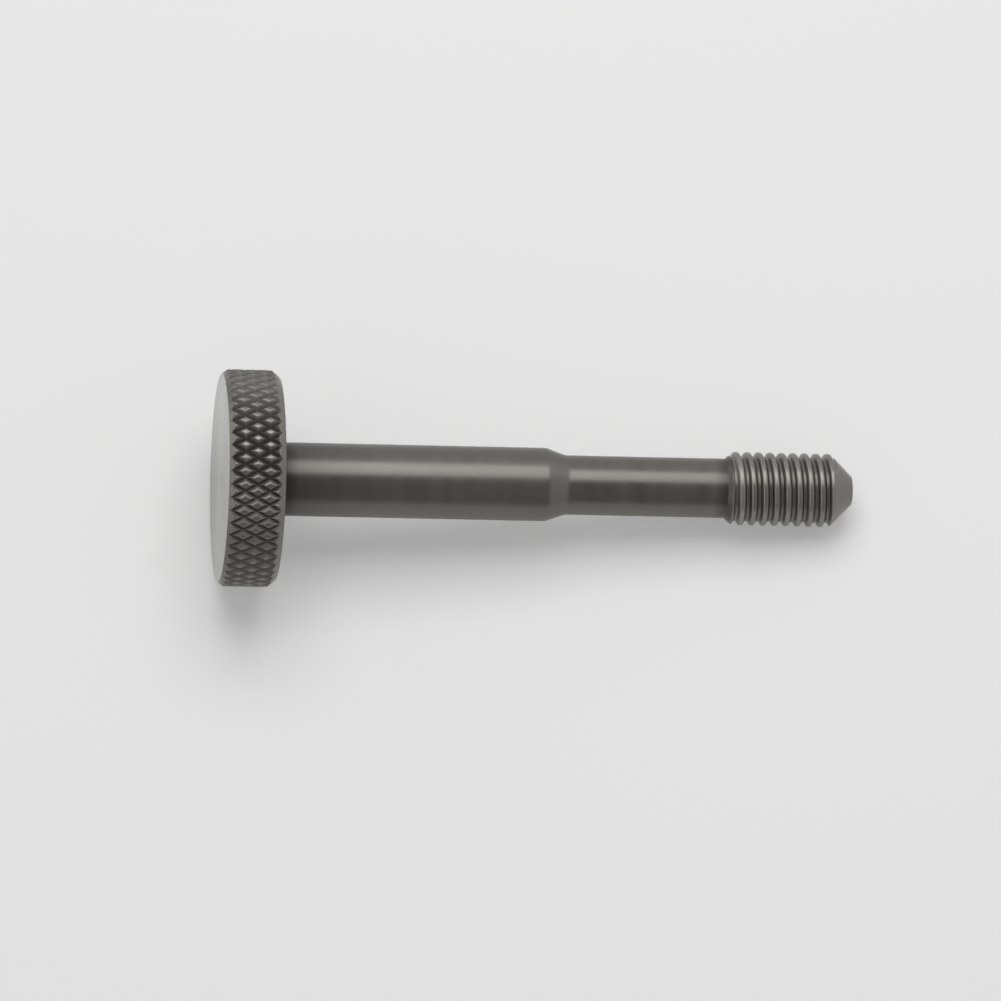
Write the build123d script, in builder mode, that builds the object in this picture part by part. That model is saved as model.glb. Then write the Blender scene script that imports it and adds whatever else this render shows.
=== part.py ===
from build123d import *
from math import cos, radians, sin, tan
import os

# Knurled-head thumb bolt, turned from one bar of steel.
# It stands on its head: the origin is the middle of the head's outer face, and +Z runs along the axis to the tip.

# Head
head_dia = 28.0
head_thick = 7.3
outer_chamfer_len = 0.75  # along the axis
outer_chamfer_drop = 0.6  # on the radius
under_chamfer_len = 1.0
under_chamfer_drop = 0.85

# Diamond knurl on the rim
knurl_teeth = 50  # grooves of each hand
knurl_lean = 29.0  # degrees from the axis
knurl_depth = 0.45
knurl_included = 90.0  # degrees across a groove

# Shank and relief, lengths measured from under the head
shank_dia = 9.5
shank_len = 35.0
neck_cone_len = 2.55
relief_dia = 7.7
relief_end = 58.4
bolt_len = 75.0

# Thread, metric coarse, cut on a bar thinner than its nominal diameter, which leaves its crests wide
thread_dia = 10.0
thread_pitch = 1.5
crest_dia = 9.5
first_crest = 0.86  # how far before the end of the relief the winding starts
rear_chamfer_len = 1.05
tip_chamfer = 2.85

head_radius = head_dia / 2
shank_radius = shank_dia / 2
relief_radius = relief_dia / 2
thread_radius = thread_dia / 2
crest_radius = crest_dia / 2
flank = radians(30)
root_radius = thread_radius - thread_pitch * cos(flank) * 5 / 8  # basic 60 degree profile
tip_radius = crest_radius - tip_chamfer
tip_z = head_thick + bolt_len
cone_start_z = head_thick + shank_len
cone_end_z = cone_start_z + neck_cone_len
relief_end_z = head_thick + relief_end
thread_end_z = tip_z - tip_chamfer
rear_chamfer_slope = rear_chamfer_len / (crest_radius - relief_radius)
trim_over = 1.0  # how far the chamfer cuts stand clear of the thread
trim_radius = crest_radius + trim_over
trim_start_z = relief_end_z - 2 * thread_pitch  # behind all of the winding's first turn

os.makedirs("parts", exist_ok=True)

# One knurling groove: a straight V laid across the rim, leaning from the axis
groove_over = 0.15  # how far the V stands clear of the rim
groove_run_out = 1.0  # how far it goes on past the head's two sides
groove_half_width = (knurl_depth + groove_over) * tan(radians(knurl_included / 2))
groove_reach = 0.5 * head_thick / cos(radians(knurl_lean)) + groove_run_out
groove_radius = head_radius + groove_over


def rim_plane(lean):
    """Plane across a groove at the side of the rim, its Y pointing into the head."""
    along = Vector(0, sin(radians(lean)), cos(radians(lean)))
    return Plane(origin=(groove_radius, 0, head_thick / 2), x_dir=along.cross(Vector(1, 0, 0)), z_dir=along)


def knurl_groove(lean):
    with BuildPart() as groove:
        with BuildSketch(rim_plane(lean)):
            with BuildLine():
                Polyline(
                    (-groove_half_width, 0),
                    (groove_half_width, 0),
                    (0, knurl_depth + groove_over),
                    close=True,
                )
            make_face()
        extrude(amount=groove_reach, both=True)
    return groove.part


right_groove = knurl_groove(knurl_lean)
left_groove = knurl_groove(-knurl_lean)

# The thread ridge: one turn after another wound on the root of the thread, from the relief to inside the tip
# chamfer. Its foot is sunk a little into the core, so that the two join as one solid.
ridge_sink = 0.1
ridge_height = crest_radius - root_radius
ridge_crest_half = thread_pitch / 16 + (thread_radius - crest_radius) * tan(flank)
ridge_foot_half = ridge_crest_half + (ridge_height + ridge_sink) * tan(flank)
helix_start_z = relief_end_z - first_crest
helix_end_z = tip_z - 1.0  # the tip chamfer has cut the ridge off before it ends here
helix_len = helix_end_z - helix_start_z
with BuildPart() as thread_ridge:
    with BuildLine():
        turns = Helix(pitch=thread_pitch, height=helix_len, radius=root_radius, center=(0, 0, helix_start_z))
    with BuildSketch(Plane(origin=turns @ 0, x_dir=(1, 0, 0), z_dir=turns % 0)):
        with BuildLine():
            Polyline(
                (-ridge_sink, -ridge_foot_half),
                (ridge_height, -ridge_crest_half),
                (ridge_height, ridge_crest_half),
                (-ridge_sink, ridge_foot_half),
                close=True,
            )
        make_face()
    sweep(path=turns, is_frenet=True)

with BuildPart() as thumb_bolt:
    # The head, with a flat for each column of diamonds, which the knurling leaves as their lands
    with BuildSketch():
        RegularPolygon(head_radius, 2 * knurl_teeth, major_radius=False, rotation=90 / knurl_teeth)
    extrude(amount=head_thick)
    chamfer(edges().group_by(Axis.Z)[0], outer_chamfer_len, outer_chamfer_drop)
    chamfer(edges().group_by(Axis.Z)[-1], under_chamfer_len, under_chamfer_drop)

    # The turned shank, with the threaded end at the root of its thread
    with BuildSketch(Plane.XZ):
        with BuildLine():
            Polyline(
                (0, head_thick),
                (0, tip_z),
                (root_radius, tip_z),
                (root_radius, relief_end_z),
                (relief_radius, relief_end_z),
                (relief_radius, cone_end_z),
                (shank_radius, cone_start_z),
                (shank_radius, head_thick),
                close=True,
            )
        make_face()
    revolve(axis=Axis.Z)

    # The thread, trimmed by the chamfers at its two ends
    add(thread_ridge.part)
    with BuildSketch(Plane.XZ):
        with BuildLine():
            Polyline(
                (tip_radius, tip_z),
                (trim_radius, tip_z + trim_over),
                (trim_radius, thread_end_z - trim_over),
                close=True,
            )
        make_face()
    revolve(axis=Axis.Z, mode=Mode.SUBTRACT)
    with BuildSketch(Plane.XZ):
        with BuildLine():
            Polyline(
                (relief_radius, relief_end_z),
                (relief_radius + ridge_sink, trim_start_z),
                (trim_radius, trim_start_z),
                (trim_radius, relief_end_z + (trim_radius - relief_radius) * rear_chamfer_slope),
                close=True,
            )
        make_face()
    revolve(axis=Axis.Z, mode=Mode.SUBTRACT)

    # The diamond knurl, cut by the grooves of each hand in turn
    with PolarLocations(0, knurl_teeth):
        add(right_groove, mode=Mode.SUBTRACT)
    with PolarLocations(0, knurl_teeth):
        add(left_groove, mode=Mode.SUBTRACT)

thumb_bolt.part.label = "thumb_bolt"
export_step(thumb_bolt.part, "parts/thumb_bolt.step")
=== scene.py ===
import bpy
import math
from mathutils import Matrix, Vector


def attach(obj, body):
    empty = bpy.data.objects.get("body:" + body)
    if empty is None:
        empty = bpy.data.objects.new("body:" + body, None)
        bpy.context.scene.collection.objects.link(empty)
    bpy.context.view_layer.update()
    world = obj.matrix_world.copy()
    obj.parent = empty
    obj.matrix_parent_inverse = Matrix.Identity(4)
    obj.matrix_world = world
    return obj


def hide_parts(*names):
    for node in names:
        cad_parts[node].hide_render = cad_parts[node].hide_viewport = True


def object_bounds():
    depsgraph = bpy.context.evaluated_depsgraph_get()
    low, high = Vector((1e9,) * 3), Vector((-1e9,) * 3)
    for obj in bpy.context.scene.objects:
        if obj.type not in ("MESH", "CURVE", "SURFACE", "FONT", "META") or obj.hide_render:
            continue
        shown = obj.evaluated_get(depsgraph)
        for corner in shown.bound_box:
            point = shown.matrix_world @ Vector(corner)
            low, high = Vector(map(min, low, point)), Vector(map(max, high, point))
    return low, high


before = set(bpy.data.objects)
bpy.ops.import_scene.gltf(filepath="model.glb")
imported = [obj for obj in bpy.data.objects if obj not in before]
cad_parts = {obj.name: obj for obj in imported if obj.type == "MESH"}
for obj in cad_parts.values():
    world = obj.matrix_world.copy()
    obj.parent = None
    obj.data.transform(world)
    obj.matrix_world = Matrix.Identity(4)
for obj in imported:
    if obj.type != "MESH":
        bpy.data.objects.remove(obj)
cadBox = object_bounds()
mm = 0.001

print("frame loaded, the bolt is", round(cadBox[1].z / mm, 1), "mm long")


# One node with its settings and its inputs, which are sockets to link or plain values
def put(tree, kind, inputs=None, **settings):
    node = tree.nodes.new(kind)
    for name, value in settings.items():
        setattr(node, name, value)
    for name, value in (inputs or {}).items():
        if isinstance(value, bpy.types.NodeSocket):
            tree.links.new(value, node.inputs[name])
        else:
            node.inputs[name].default_value = value
    return node


def calc(tree, operation, *values):
    return put(tree, "ShaderNodeMath", dict(enumerate(values)), operation=operation).outputs[0]


def vectorCalc(tree, operation, *values):
    return put(tree, "ShaderNodeVectorMath", dict(enumerate(values)), operation=operation).outputs["Vector"]


def ramp(tree, value, low, high, start, end, clamp=True):
    names = ("Value", "From Min", "From Max", "To Min", "To Max")
    ends = dict(zip(names, (value, low, high, start, end)))
    return put(tree, "ShaderNodeMapRange", ends, clamp=clamp).outputs[0]


# A grid's two directions as fractions, round the axis and along it: it is one unit wide about the origin
def wrapCoordinates(tree):
    spot = put(tree, "ShaderNodeSeparateXYZ", {0: put(tree, "GeometryNodeInputPosition").outputs[0]})
    return calc(tree, "ADD", spot.outputs["X"], 0.5), calc(tree, "ADD", spot.outputs["Y"], 0.5)


def wrapGrid(tree, columns, rows, around, radius, height):
    angle = calc(tree, "MULTIPLY", around, math.tau)
    place = put(tree, "ShaderNodeCombineXYZ", {
        "X": calc(tree, "MULTIPLY", radius, calc(tree, "COSINE", angle)),
        "Y": calc(tree, "MULTIPLY", radius, calc(tree, "SINE", angle)),
        "Z": height,
    })
    grid = put(tree, "GeometryNodeMeshGrid", {
        "Size X": 1.0,
        "Size Y": 1.0,
        "Vertices X": calc(tree, "ADD", columns, 1.0),
        "Vertices Y": calc(tree, "ADD", rows, 1.0),
    })
    wrapped = {"Geometry": grid.outputs[0], "Position": place.outputs[0]}
    return put(tree, "GeometryNodeSetPosition", wrapped).outputs[0]


def disc(tree, points, radius):
    circle = {"Vertices": points, "Radius": radius}
    return put(tree, "GeometryNodeMeshCircle", circle, fill_type="TRIANGLE_FAN").outputs[0]


def liftTo(tree, geometry, height):
    lift = put(tree, "ShaderNodeCombineXYZ", {"Z": height}).outputs[0]
    return put(tree, "GeometryNodeTransform", {"Geometry": geometry, "Translation": lift}).outputs[0]


boltSize = {
    "headRadius": cadBox[1].x,
    "headThick": 7.3 * mm,
    "outerChamferLength": 0.75 * mm,
    "outerChamferDrop": 0.6 * mm,
    "underChamferLength": 1.0 * mm,
    "underChamferDrop": 0.85 * mm,
    "teeth": 50,
    "cellsPerTooth": 24,  # round the rim and along it, so that both hands of groove follow the grid
    "landRows": 42,
    "crossingRow": 22,  # where a groove of each hand cross on the X axis
    "chamferRows": 5,
    "knurlDepth": 0.45 * mm,
    "knurlNormalPitch": 1.539 * mm,
    "landBlend": 0.22 * mm,
    "shankRadius": 4.75 * mm,
    "shankEnd": 42.3 * mm,
    "reliefRadius": 3.85 * mm,
    "coneEnd": 44.85 * mm,
    "coneMargin": 0.6 * mm,  # the fine rows start this far before the cone and stop this far past it
    "cornerBlend": 0.12 * mm,
    "shankRows": 6,
    "coneRows": 28,
    "neckRows": 4,
    "segments": 128,
    "reliefEnd": 65.7 * mm,
    "rearChamferLength": 1.05 * mm,
    "threadRadius": 4.75 * mm,
    "threadRoot": 4.188 * mm,
    "threadPitch": 1.5 * mm,
    "crestHalf": 0.159,  # of a pitch
    "rootHalf": 0.125,
    "crestBlend": 0.25 * mm,
    "rootBlend": 0.2 * mm,
    "crestStart": 64.84 * mm,  # where the crest's middle crosses the X axis
    "rowsPerPitch": 16,
    "spiralTurns": 11,
    "tipChamfer": 2.85 * mm,
    "tipZ": cadBox[1].z,
    "noseRows": 4,
    "weldGap": 0.0005 * mm,
    "crispAngle": math.radians(15),
}


# Head rim: chamfer, diamond knurl, chamfer
def knurledRim(tree, size):
    around, along = wrapCoordinates(tree)
    landStart = size["chamferRows"]
    landStop = calc(tree, "ADD", landStart, size["landRows"])
    rows = calc(tree, "ADD", landStop, landStart)
    row = calc(tree, "MULTIPLY", along, rows)
    landLength = calc(tree, "SUBTRACT", size["headThick"],
                      calc(tree, "ADD", size["outerChamferLength"], size["underChamferLength"]))
    height = calc(tree, "ADD", ramp(tree, row, 0.0, landStart, 0.0, size["outerChamferLength"]),
                  ramp(tree, row, landStart, landStop, 0.0, landLength))
    height = calc(tree, "ADD", height, ramp(tree, row, landStop, rows, 0.0, size["underChamferLength"]))
    outerRadius = calc(tree, "SUBTRACT", size["headRadius"], size["outerChamferDrop"])
    underRadius = calc(tree, "SUBTRACT", size["headRadius"], size["underChamferDrop"])
    blank = calc(tree, "MINIMUM", ramp(tree, row, 0.0, landStart, outerRadius, size["headRadius"]),
                 ramp(tree, row, landStop, rows, size["headRadius"], underRadius))
    tooth = calc(tree, "MULTIPLY", around, size["teeth"])
    cellHeight = calc(tree, "DIVIDE", landLength, size["landRows"])
    landRow = calc(tree, "DIVIDE", calc(tree, "SUBTRACT", height, size["outerChamferLength"]), cellHeight)
    pastCrossing = calc(tree, "SUBTRACT", landRow, size["crossingRow"])
    climb = calc(tree, "DIVIDE", pastCrossing, size["cellsPerTooth"])
    groove = -1.0
    for hand in ("ADD", "SUBTRACT"):
        offCentre = calc(tree, "PINGPONG", calc(tree, hand, tooth, climb), 0.5)
        depth = calc(tree, "SUBTRACT", size["knurlDepth"],
                     calc(tree, "MULTIPLY", offCentre, size["knurlNormalPitch"]))
        groove = calc(tree, "MAXIMUM", groove, depth)
    groove = calc(tree, "SMOOTH_MAX", groove, 0.0, size["landBlend"])
    radius = calc(tree, "MINIMUM", blank, calc(tree, "SUBTRACT", size["headRadius"], groove))
    columns = calc(tree, "MULTIPLY", size["teeth"], size["cellsPerTooth"])
    rim = wrapGrid(tree, columns, rows, around, radius, height)
    rim = put(tree, "GeometryNodeTriangulate", {"Mesh": rim}).outputs[0]

    outerFace = put(tree, "GeometryNodeFlipFaces", {"Mesh": disc(tree, columns, outerRadius)}).outputs[0]

    edges = put(tree, "GeometryNodeJoinGeometry")
    for points, reach in ((columns, underRadius), (size["segments"], size["shankRadius"])):
        ring = put(tree, "GeometryNodeCurvePrimitiveCircle", {"Resolution": points, "Radius": reach})
        tree.links.new(ring.outputs[0], edges.inputs[0])
    innerFace = put(tree, "GeometryNodeFillCurve", {0: edges.outputs[0]}).outputs[0]
    return [rim, outerFace, liftTo(tree, innerFace, size["headThick"])]


# The thread's rows start half a pitch before its first crest, where the neck's rows stop
def threadFoot(tree, size):
    return calc(tree, "MULTIPLY_ADD", size["threadPitch"], -0.5, size["crestStart"])


# Plain shank, cone and neck, with the two corners of the cone slightly rounded
def plainShank(tree, size):
    around, along = wrapCoordinates(tree)
    coneRow = size["shankRows"]
    neckRow = calc(tree, "ADD", coneRow, size["coneRows"])
    rows = calc(tree, "ADD", neckRow, size["neckRows"])
    row = calc(tree, "MULTIPLY", along, rows)
    coneFrom = calc(tree, "SUBTRACT", size["shankEnd"], size["coneMargin"])
    coneTo = calc(tree, "ADD", size["coneEnd"], size["coneMargin"])
    coneLength = calc(tree, "SUBTRACT", coneTo, coneFrom)
    neckLength = calc(tree, "SUBTRACT", threadFoot(tree, size), coneTo)
    height = calc(tree, "ADD", ramp(tree, row, 0.0, coneRow, size["headThick"], coneFrom),
                  ramp(tree, row, coneRow, neckRow, 0.0, coneLength))
    height = calc(tree, "ADD", height, ramp(tree, row, neckRow, rows, 0.0, neckLength))
    cone = ramp(tree, height, size["shankEnd"], size["coneEnd"], size["shankRadius"], size["reliefRadius"],
                clamp=False)
    radius = calc(tree, "SMOOTH_MIN", cone, size["shankRadius"], size["cornerBlend"])
    radius = calc(tree, "SMOOTH_MAX", radius, size["reliefRadius"], size["cornerBlend"])
    return [wrapGrid(tree, size["segments"], rows, around, radius, height)]


# Thread: the rows wind up with the crest, and close into a ring below the first turn and above the last
def threadedEnd(tree, size):
    around, along = wrapCoordinates(tree)
    turnRows = calc(tree, "ADD", size["spiralTurns"], 1.0)
    turn = calc(tree, "MULTIPLY", along, turnRows)
    climb = calc(tree, "MULTIPLY", calc(tree, "MINIMUM", turn, 1.0), around)
    lastTurn = calc(tree, "SUBTRACT", size["spiralTurns"], 1.0)
    climb = calc(tree, "ADD", climb, ramp(tree, turn, 1.0, size["spiralTurns"], 0.0, lastTurn))
    closing = ramp(tree, turn, size["spiralTurns"], turnRows, 0.0, 1.0)
    climb = calc(tree, "MULTIPLY_ADD", closing, calc(tree, "SUBTRACT", 1.0, around), climb)
    start = threadFoot(tree, size)
    height = calc(tree, "MULTIPLY_ADD", climb, size["threadPitch"], start)

    pastCrest = calc(tree, "SUBTRACT", calc(tree, "SUBTRACT", climb, 0.5), around)
    fromCrest = calc(tree, "PINGPONG", pastCrest, 0.5)
    rootFrom = calc(tree, "SUBTRACT", 0.5, size["rootHalf"])
    radius = ramp(tree, fromCrest, size["crestHalf"], rootFrom, size["threadRadius"], size["threadRoot"],
                  clamp=False)
    radius = calc(tree, "SMOOTH_MIN", radius, size["threadRadius"], size["crestBlend"])
    radius = calc(tree, "SMOOTH_MAX", radius, size["threadRoot"], size["rootBlend"])
    rearStop = calc(tree, "ADD", size["reliefEnd"], size["rearChamferLength"])
    rear = ramp(tree, height, size["reliefEnd"], rearStop, size["reliefRadius"], size["threadRadius"])
    tipFrom = calc(tree, "SUBTRACT", size["tipZ"], size["tipChamfer"])
    tipRadius = calc(tree, "SUBTRACT", size["threadRadius"], size["tipChamfer"])
    tip = ramp(tree, height, tipFrom, size["tipZ"], size["threadRadius"], tipRadius)
    radius = calc(tree, "MINIMUM", calc(tree, "MINIMUM", radius, rear), tip)
    rows = calc(tree, "MULTIPLY", turnRows, size["rowsPerPitch"])
    thread = wrapGrid(tree, size["segments"], rows, around, radius, height)

    around, along = wrapCoordinates(tree)
    ringZ = calc(tree, "MULTIPLY_ADD", size["spiralTurns"], size["threadPitch"], start)
    height = ramp(tree, along, 0.0, 1.0, ringZ, size["tipZ"])
    tip = ramp(tree, height, tipFrom, size["tipZ"], size["threadRadius"], tipRadius)
    nose = wrapGrid(tree, size["segments"], size["noseRows"], around, tip, height)
    return [thread, nose, liftTo(tree, disc(tree, size["segments"], tipRadius), size["tipZ"])]


def boltTree(material):
    tree = bpy.data.node_groups.new("turnedBolt", "GeometryNodeTree")
    for name, value in boltSize.items():
        kind = "NodeSocketInt" if isinstance(value, int) else "NodeSocketFloat"
        tree.interface.new_socket(name, in_out="INPUT", socket_type=kind)
    tree.interface.new_socket("Geometry", in_out="OUTPUT", socket_type="NodeSocketGeometry")
    size = tree.nodes.new("NodeGroupInput").outputs
    zones = put(tree, "GeometryNodeJoinGeometry")
    for zone in knurledRim(tree, size) + plainShank(tree, size) + threadedEnd(tree, size):
        tree.links.new(zone, zones.inputs[0])
    joined = zones.outputs[0]
    whole = put(tree, "GeometryNodeMergeByDistance", {"Geometry": joined, "Distance": size["weldGap"]})
    smooth = put(tree, "GeometryNodeSetShadeSmooth", {"Geometry": whole.outputs[0]}, domain="FACE")
    turnOfEdge = put(tree, "GeometryNodeInputMeshEdgeAngle").outputs["Unsigned Angle"]
    crisp = put(tree, "GeometryNodeSetShadeSmooth", {
        "Geometry": smooth.outputs[0],
        "Selection": calc(tree, "GREATER_THAN", turnOfEdge, size["crispAngle"]),
        "Shade Smooth": False,
    }, domain="EDGE")
    real = put(tree, "GeometryNodeRealizeInstances", {"Geometry": crisp.outputs[0]})
    painted = put(tree, "GeometryNodeSetMaterial", {"Geometry": real.outputs[0], "Material": material})
    tree.links.new(painted.outputs[0], put(tree, "NodeGroupOutput").inputs[0])
    return tree


def makeBolt(material):
    bolt = bpy.data.objects.new("thumbBolt", bpy.data.meshes.new("boltSeed"))
    bpy.context.scene.collection.objects.link(bolt)
    modifier = bolt.modifiers.new("turnedBolt", "NODES")
    modifier.node_group = boltTree(material)
    for item in modifier.node_group.interface.items_tree:
        if item.in_out == "INPUT":
            modifier[item.identifier] = boltSize[item.name]
    evaluated = bolt.evaluated_get(bpy.context.evaluated_depsgraph_get())
    mesh = bpy.data.meshes.new_from_object(evaluated)
    bolt.modifiers.remove(modifier)
    bolt.data = mesh
    print("bolt mesh has", sum(len(face.vertices) - 2 for face in mesh.polygons), "triangles")
    return bolt


steelLook = {
    "colour": (0.15, 0.146, 0.134),
    "colourSpread": 0.2,
    "roughness": 0.37,
    "roughnessSpread": 0.06,
    "noiseLow": 0.3,  # the noise seldom leaves this range
    "noiseHigh": 0.7,
    "anisotropy": 0.5,
    "faceDepth": 0.02 * mm,
    "faceFinish": 0.45,  # the end face's roughness beside the rest
    # painted light and shade along the axis, at these distances in mm: the head's outer chamfer darker,
    # painted shade on the neck's end before the thread, and the thread painted brighter as a highlight
    "paintedLightAlong": ((0.01, 1.0), (0.03, 0.8), (0.7, 0.8), (0.8, 1.0), (64.0, 1.0), (65.5, 0.55), (66.2, 0.55),
                  (66.6, 1.5), (67.6, 1.7), (69.0, 1.5), (79.3, 1.5), (79.6, 1.35)),
    # and painted shade at these distances from the corner under the head
    "paintedCornerShade": ((0.0, 0.1), (0.8, 0.35), (2.5, 0.72), (6.0, 0.85), (13.0, 1.0)),
    "threadRootShade": 0.65,  # painted shade in the root of the thread
    "landHighlight": 1.25,
    "knurlGrooveShade": 0.85,  # and painted shade in the grooves of the knurl, beside its lands, which are painted lighter as a highlight
    "knurlGrit": 0.2,  # how much rougher those grooves are
    "grooveFrom": 0.04 * mm,
    "grooveTo": 0.22 * mm,
    "rearUnshaded": 0.9 * mm,  # the painted shade in the thread's root leaves the rear chamfer out up to here
    "rootMargin": 0.1 * mm,
    "markPitch": 0.22 * mm,
    "markDepth": 0.0012 * mm,
    "bandPitch": 2.2 * mm,
    "patchPitch": 6.25 * mm,
}


# A tone that goes in straight steps between (distance in mm, tone) points
def steppedTone(tree, distance, points):
    tone = points[0][1]
    for (start, startTone), (end, endTone) in zip(points, points[1:]):
        if endTone != startTone:
            step = ramp(tree, distance, start * mm, end * mm, 0.0, endTone - startTone)
            tone = calc(tree, "ADD", tone, step)
    return tone


# Dark satin steel with turning marks, which run round the axis everywhere on the bolt
def turnedSteel():
    material = bpy.data.materials.new("darkTurnedSteel")
    material.use_nodes = True
    tree = material.node_tree
    shader = tree.nodes["Principled BSDF"]
    shader.inputs["Metallic"].default_value = 1.0
    shader.inputs["Anisotropic"].default_value = steelLook["anisotropy"]

    place = put(tree, "ShaderNodeTexCoord").outputs["Object"]
    spot = put(tree, "ShaderNodeSeparateXYZ", {0: place})
    across = put(tree, "ShaderNodeCombineXYZ", {"X": spot.outputs["X"], "Y": spot.outputs["Y"]}).outputs[0]
    outward = put(tree, "ShaderNodeVectorMath", {0: across}, operation="LENGTH").outputs["Value"]

    # the gloss spreads along the surface, square to the turning marks
    aroundAxis = vectorCalc(tree, "CROSS_PRODUCT", (0.0, 0.0, 1.0), across)
    normal = put(tree, "ShaderNodeNewGeometry").outputs["Normal"]
    grain = vectorCalc(tree, "NORMALIZE", vectorCalc(tree, "CROSS_PRODUCT", normal, aroundAxis))
    tree.links.new(grain, shader.inputs["Tangent"])

    cut = put(tree, "ShaderNodeCombineXYZ", {"X": outward, "Y": spot.outputs["Z"]}).outputs[0]
    marks = put(tree, "ShaderNodeTexNoise", {
        "Vector": cut,
        "Scale": 1 / steelLook["markPitch"],
        "Detail": 3.0,
        "Roughness": 0.6,
    }, noise_dimensions="2D").outputs["Fac"]
    bands = put(tree, "ShaderNodeTexNoise", {
        "Vector": cut,
        "Scale": 1 / steelLook["bandPitch"],
        "Detail": 2.0,
    }, noise_dimensions="2D").outputs["Fac"]
    patches = put(tree, "ShaderNodeTexNoise", {
        "Vector": place,
        "Scale": 1 / steelLook["patchPitch"],
        "Detail": 4.0,
    }).outputs["Fac"]

    tone = calc(tree, "MULTIPLY_ADD", patches, 0.5, calc(tree, "MULTIPLY", bands, 0.5))
    mix = put(tree, "ShaderNodeMix", {"Factor": tone}, data_type="RGBA")
    for name, share in (("A", 1.0 - steelLook["colourSpread"]), ("B", 1.0 + steelLook["colourSpread"])):
        mix.inputs[name].default_value = tuple(share * c for c in steelLook["colour"]) + (1.0,)

    along = spot.outputs["Z"]
    # painted shade round the corner under the head, on the shank and on the head's underside
    fromCorner = calc(tree, "MAXIMUM", calc(tree, "SUBTRACT", along, boltSize["headThick"]),
                      calc(tree, "SUBTRACT", outward, boltSize["shankRadius"]))
    pastHead = calc(tree, "GREATER_THAN", along, boltSize["headThick"] - steelLook["faceDepth"])
    cornerShade = calc(tree, "SUBTRACT", steppedTone(tree, fromCorner, steelLook["paintedCornerShade"]), 1.0)
    # painted light and shade along the axis
    paintedShading = calc(tree, "MULTIPLY", steppedTone(tree, along, steelLook["paintedLightAlong"]),
                 calc(tree, "MULTIPLY_ADD", pastHead, cornerShade, 1.0))
    # painted shade in the roots of the thread, darker toward the root
    onThread = calc(tree, "MULTIPLY",
                    calc(tree, "GREATER_THAN", along, boltSize["reliefEnd"] + steelLook["rearUnshaded"]),
                    calc(tree, "LESS_THAN", along, boltSize["tipZ"] - boltSize["tipChamfer"]))
    grooveShade = ramp(tree, outward, boltSize["threadRoot"] + steelLook["rootMargin"],
                boltSize["threadRadius"] - steelLook["rootMargin"], steelLook["threadRootShade"] - 1.0, 0.0)
    paintedShading = calc(tree, "MULTIPLY", paintedShading, calc(tree, "MULTIPLY_ADD", onThread, grooveShade, 1.0))

    # painted highlight on the knurl's lands and painted shade in its grooves, by depth below the blank
    rim, rimEnd = boltSize["headRadius"], boltSize["headThick"]
    outerBlank = ramp(tree, along, 0.0, boltSize["outerChamferLength"],
                      rim - boltSize["outerChamferDrop"], rim)
    underBlank = ramp(tree, along, rimEnd - boltSize["underChamferLength"], rimEnd,
                      rim, rim - boltSize["underChamferDrop"])
    belowBlank = calc(tree, "SUBTRACT", calc(tree, "MINIMUM", outerBlank, underBlank), outward)
    onRim = calc(tree, "MULTIPLY", calc(tree, "GREATER_THAN", along, steelLook["faceDepth"]),
                 calc(tree, "LESS_THAN", along, rimEnd - steelLook["faceDepth"]))
    grooveShade = ramp(tree, belowBlank, steelLook["grooveFrom"], steelLook["grooveTo"],
                steelLook["landHighlight"] - 1.0, steelLook["knurlGrooveShade"] - 1.0)
    grit = ramp(tree, belowBlank, steelLook["grooveFrom"], steelLook["grooveTo"], 0.0, steelLook["knurlGrit"])
    paintedShading = calc(tree, "MULTIPLY", paintedShading, calc(tree, "MULTIPLY_ADD", onRim, grooveShade, 1.0))
    # the steel's colour times the painted light and shade above
    steel = mix.outputs["Result"]
    shadedSteel = put(tree, "ShaderNodeVectorMath", {0: steel, "Scale": paintedShading}, operation="SCALE")
    tree.links.new(shadedSteel.outputs[0], shader.inputs["Base Color"])

    rough = ramp(tree, tone, steelLook["noiseLow"], steelLook["noiseHigh"],
                 steelLook["roughness"] - steelLook["roughnessSpread"],
                 steelLook["roughness"] + steelLook["roughnessSpread"])
    onFace = calc(tree, "LESS_THAN", along, steelLook["faceDepth"])
    finer = calc(tree, "MULTIPLY_ADD", onFace, steelLook["faceFinish"] - 1.0, 1.0)
    rough = calc(tree, "MULTIPLY_ADD", onRim, grit, calc(tree, "MULTIPLY", rough, finer))
    tree.links.new(rough, shader.inputs["Roughness"])
    bump = put(tree, "ShaderNodeBump", {"Height": marks, "Distance": steelLook["markDepth"]})
    tree.links.new(bump.outputs[0], shader.inputs["Normal"])
    return material


# The bolt lies on the table in the photograph: it rests on the head's rim and on the thread's end
tableRim = Vector((0.0, boltSize["headRadius"], boltSize["headThick"] - boltSize["underChamferLength"]))
tableThread = Vector((0.0, boltSize["threadRadius"], boltSize["tipZ"] - boltSize["tipChamfer"]))
tableAlong = (tableThread - tableRim).normalized()
tableAcross = Vector((-1.0, 0.0, 0.0))
tableUp = tableAcross.cross(tableAlong)
if tableUp.y > 0:
    tableUp = -tableUp

cameraFit = {
    "frame": 1001,  # pixels
    "sensor": 36.0,
    "clipEnd": 20.0,
    "focal": 8500.0,  # in pixels of the photograph
    "scale": 7.735 / mm,  # pixels in a metre at the axis
    "roll": math.radians(1.2),
    "axisMiddle": 36.45 * mm,  # the point of the axis in the picture's middle column
    "axisAbove": 16.9,  # pixels from the picture's middle up to the axis
}


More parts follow.
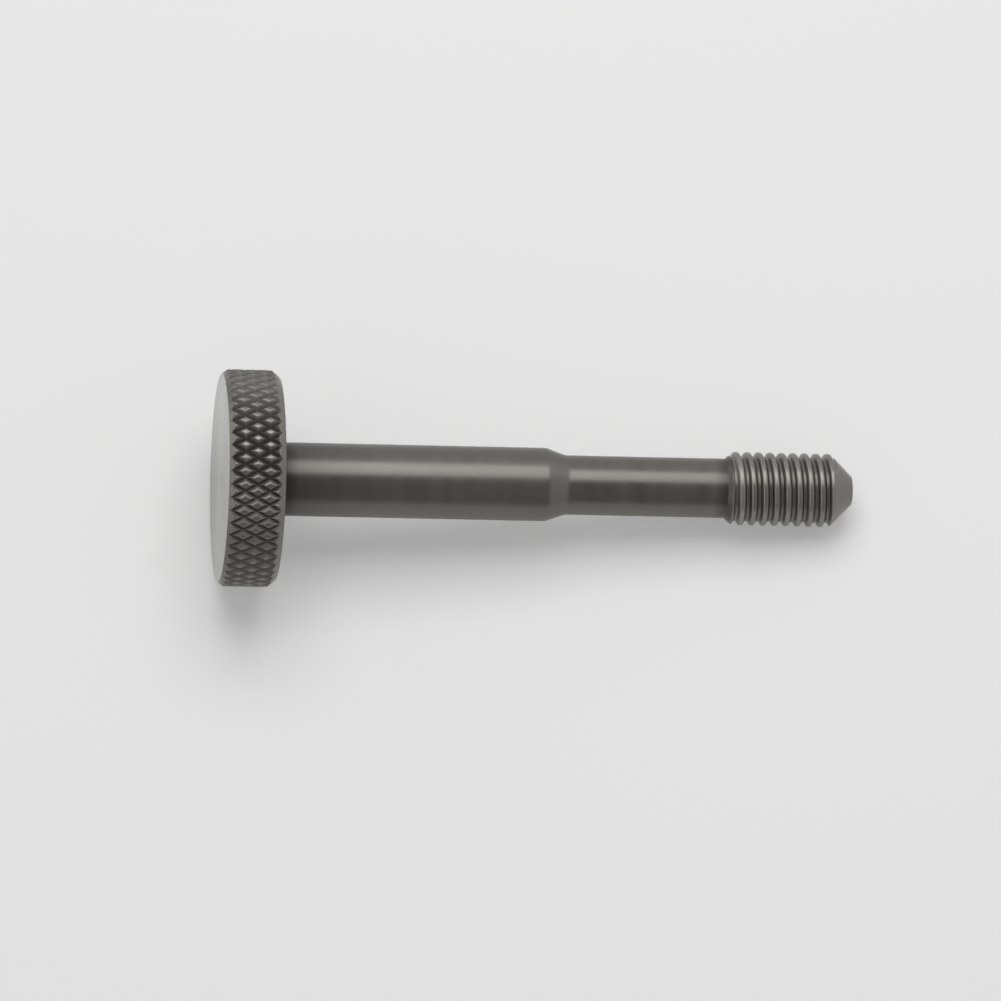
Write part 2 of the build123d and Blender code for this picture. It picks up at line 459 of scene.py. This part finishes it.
def addCamera():
    roll = cameraFit["roll"]
    right = tableAlong * math.cos(roll) + tableAcross * math.sin(roll)
    up = tableAcross * math.cos(roll) - tableAlong * math.sin(roll)
    camera = bpy.data.objects.new("camera", bpy.data.cameras.new("camera"))
    camera.data.sensor_width = cameraFit["sensor"]
    camera.data.lens = cameraFit["sensor"] * cameraFit["focal"] / cameraFit["frame"]
    camera.data.clip_end = cameraFit["clipEnd"]
    away = cameraFit["focal"] / cameraFit["scale"]
    target = Vector((0.0, 0.0, cameraFit["axisMiddle"])) - up * cameraFit["axisAbove"] / cameraFit["scale"]
    turn = Matrix((right, up, tableUp)).transposed()
    camera.matrix_world = Matrix.Translation(target + tableUp * away) @ turn.to_4x4()
    bpy.context.scene.collection.objects.link(camera)
    bpy.context.scene.camera = camera
    return up


studio = {
    "sheetReach": 1.0,
    "tableLean": math.radians(20),  # the table leans back from the camera, about the bolt's axis
    "tableGap": 0.03 * mm,
    "floorGap": 0.1 * mm,
    "tableTone": 0.93,
    "tableWarmth": 0.995,  # its blue beside its red and green
    "tableGlow": 0.215,
    "floorGlow": 0.48,
    "worldLight": 0.28,
    "worldLow": 0.31,  # as the steel shows it, toward the picture's foot
    "worldHigh": 0.85,  # and toward its top
    "worldRight": 0.6,  # added toward its two sides
    "worldLeft": 1.1,
    "riseFrom": 0.2,  # these four are parts of a unit direction, up the picture and across it
    "riseTo": 0.9,
    "sideFrom": 0.35,
    "sideTo": 0.85,
    "backdrop": 0.77,
    "keyAngle": math.radians(40),
    "keyAway": 0.6,
    "keyLong": 0.44,
    "keyWide": 0.44,
    "keyLevel": 2.5,  # how bright the lamp itself looks
}


# A pale surface that shows from its front alone
def paleSurface(name, tone, glow):
    material = bpy.data.materials.new(name)
    material.use_nodes = True
    tree = material.node_tree
    tree.nodes.remove(tree.nodes["Principled BSDF"])
    plain = put(tree, "ShaderNodeBsdfDiffuse", {"Color": (tone, tone, tone * studio["tableWarmth"], 1.0)})
    ray = put(tree, "ShaderNodeLightPath").outputs
    seen = calc(tree, "MAXIMUM", ray["Is Camera Ray"], ray["Is Glossy Ray"])
    lit = put(tree, "ShaderNodeEmission", {"Strength": calc(tree, "MULTIPLY", seen, glow)})
    both = put(tree, "ShaderNodeAddShader", {0: plain.outputs[0], 1: lit.outputs[0]})
    behind = put(tree, "ShaderNodeNewGeometry").outputs["Backfacing"]
    sided = put(tree, "ShaderNodeMixShader", {
        0: behind,
        1: both.outputs[0],
        2: put(tree, "ShaderNodeBsdfTransparent").outputs[0],
    })
    tree.links.new(sided.outputs[0], tree.nodes["Material Output"].inputs[0])
    return material


def paleSheet(name, middle, along, across, material):
    mesh = bpy.data.meshes.new(name)
    along, across = along * studio["sheetReach"], across * studio["sheetReach"]
    corners = [middle + along * a + across * b for a, b in ((-1, -1), (1, -1), (1, 1), (-1, 1))]
    mesh.from_pydata(corners, [], [(0, 1, 2, 3)])
    mesh.materials.append(material)
    sheet = bpy.data.objects.new(name, mesh)
    bpy.context.scene.collection.objects.link(sheet)
    return sheet


def addStage():
    lean = Matrix.Rotation(-studio["tableLean"], 3, "Z")
    middle = lean @ (tableRim - tableUp * studio["tableGap"])
    table = paleSheet("table", middle, lean @ tableAlong, lean @ tableAcross,
                      paleSurface("tablePaint", studio["tableTone"], studio["tableGlow"]))
    if table.data.polygons[0].normal.dot(tableUp) < 0:
        table.data.flip_normals()
    middle = Vector((0.0, 0.0, -studio["floorGap"]))
    floor = paleSheet("floor", middle, Vector((1.0, 0.0, 0.0)), Vector((0.0, 1.0, 0.0)),
                      paleSurface("floorPaint", studio["tableTone"], studio["floorGlow"]))
    for ray in ("diffuse", "glossy", "transmission", "shadow"):
        setattr(floor, "visible_" + ray, False)
    table.visible_shadow = False
    table.visible_diffuse = False


def addLights(up):
    middle = Vector((0.0, 0.0, boltSize["tipZ"] / 2))
    lamp = bpy.data.lights.new("key", "AREA")
    lamp.shape = "RECTANGLE"
    lamp.size, lamp.size_y = studio["keyLong"], studio["keyWide"]
    lamp.energy = studio["keyLevel"] * math.pi * studio["keyLong"] * studio["keyWide"]
    key = bpy.data.objects.new("key", lamp)
    toward = tableUp * math.cos(studio["keyAngle"]) + up * math.sin(studio["keyAngle"])
    turn = Matrix((tableAlong, toward.cross(tableAlong), toward)).transposed()
    key.matrix_world = Matrix.Translation(middle + toward * studio["keyAway"]) @ turn.to_4x4()
    bpy.context.scene.collection.objects.link(key)

    world = bpy.data.worlds.new("world")
    bpy.context.scene.world = world
    world.use_nodes = True
    tree = world.node_tree
    sky = tree.nodes["Background"]
    sky.inputs["Color"].default_value = (1.0, 1.0, 1.0, 1.0)
    ray = put(tree, "ShaderNodeLightPath").outputs
    direction = put(tree, "ShaderNodeTexCoord").outputs["Generated"]
    rise, aside = (put(tree, "ShaderNodeVectorMath", {0: direction, 1: way}, operation="DOT_PRODUCT")
                   for way in (up, tableAlong))
    rise, aside = rise.outputs["Value"], aside.outputs["Value"]
    rightEnd = ramp(tree, aside, studio["sideFrom"], studio["sideTo"], 0.0, studio["worldRight"])
    leftEnd = ramp(tree, aside, -studio["sideTo"], -studio["sideFrom"], studio["worldLeft"], 0.0)
    shown = ramp(tree, rise, studio["riseFrom"], studio["riseTo"], studio["worldLow"], studio["worldHigh"])
    shown = calc(tree, "ADD", shown, calc(tree, "ADD", rightEnd, leftEnd))
    level = calc(tree, "MAXIMUM", calc(tree, "MULTIPLY", ray["Is Glossy Ray"], shown), studio["worldLight"])
    level = calc(tree, "MAXIMUM", level, calc(tree, "MULTIPLY", ray["Is Camera Ray"], studio["backdrop"]))
    tree.links.new(level, sky.inputs["Strength"])


steel = turnedSteel()
bolt = makeBolt(steel)
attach(bolt, "root")
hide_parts("thumb_bolt")

pictureUp = addCamera()
addStage()
addLights(pictureUp)
bpy.context.scene.view_settings.view_transform = "Standard"
print("stage, camera and lights are in place")
